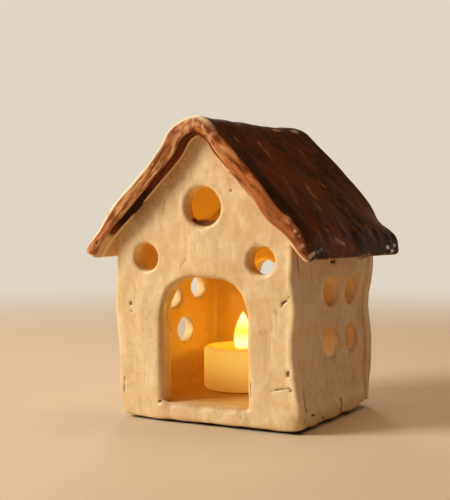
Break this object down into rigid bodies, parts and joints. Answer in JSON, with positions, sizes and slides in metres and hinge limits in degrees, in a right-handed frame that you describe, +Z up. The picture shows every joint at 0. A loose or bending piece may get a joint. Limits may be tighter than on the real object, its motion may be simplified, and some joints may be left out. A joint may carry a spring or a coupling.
{
  "type": "clay house lantern with battery tealight",
  "caption": "Slab-built clay house lantern with an arched door, round windows and a bent roof slab, holding a removable battery tealight with a slide switch.",
  "frame": {"origin": "on the table under the middle of the floor slab", "axes": "+Z up; -Y out through the arched door; +X to the right when facing the door from outside"},
  "size_m": [0.114, 0.1055, 0.1363],
  "materials": {
    "cream_glaze": "satin cream glaze",
    "brown_glaze": "glossy dark brown glaze breaking to copper at the edges",
    "ivory_case": "satin, lit from within",
    "flame_plastic": "translucent, glowing",
    "clear_epoxy": "clear",
    "tinned_wire": "tinned",
    "white_plastic": "satin",
    "cell_steel": "brushed",
    "contact_brass": "stamped",
    "wire_sleeve": "smooth",
    "switch_steel": "plated",
    "black_plastic": "smooth"
  },
  "bodies": {
    "house": {"floor_slab": "cream_glaze", "front_wall": "cream_glaze", "back_wall": "cream_glaze", "left_wall": "cream_glaze", "right_wall": "cream_glaze", "roof_slab": "brown_glaze", "corner_coils": "cream_glaze", "floor_coils": "cream_glaze"},
    "tealight": {"tealight_case": "ivory_case", "flame_lens": "flame_plastic", "led_bulb": "clear_epoxy", "led_legs": "tinned_wire", "base_plate": "white_plastic", "coin_cell": "cell_steel", "contact_spring": "contact_brass", "contact_tab": "contact_brass", "jumper_wire": "wire_sleeve", "switch_case": "switch_steel", "switch_pins": "contact_brass"},
    "switch": {"switch_knob": "black_plastic", "switch_wiper": "contact_brass"},
    "cover": {"battery_cover": "white_plastic"}
  },
  "joints": [
    {"name": "tealight_slide", "type": "slide", "parent": "house", "child": "tealight", "axis": [0.1485, -0.9889, 0], "range_m": [0, 0.11]},
    {"name": "switch_slide", "type": "slide", "parent": "tealight", "child": "switch", "axis": [0, -1, 0], "range_m": [0, 0.0026]},
    {"name": "battery_cover_turn", "type": "hinge", "parent": "tealight", "child": "cover", "pos_m": [-0.0117, 0.0106, 0.0104], "axis": [0, 0, 1], "range_deg": [0, 35]}
  ]
}
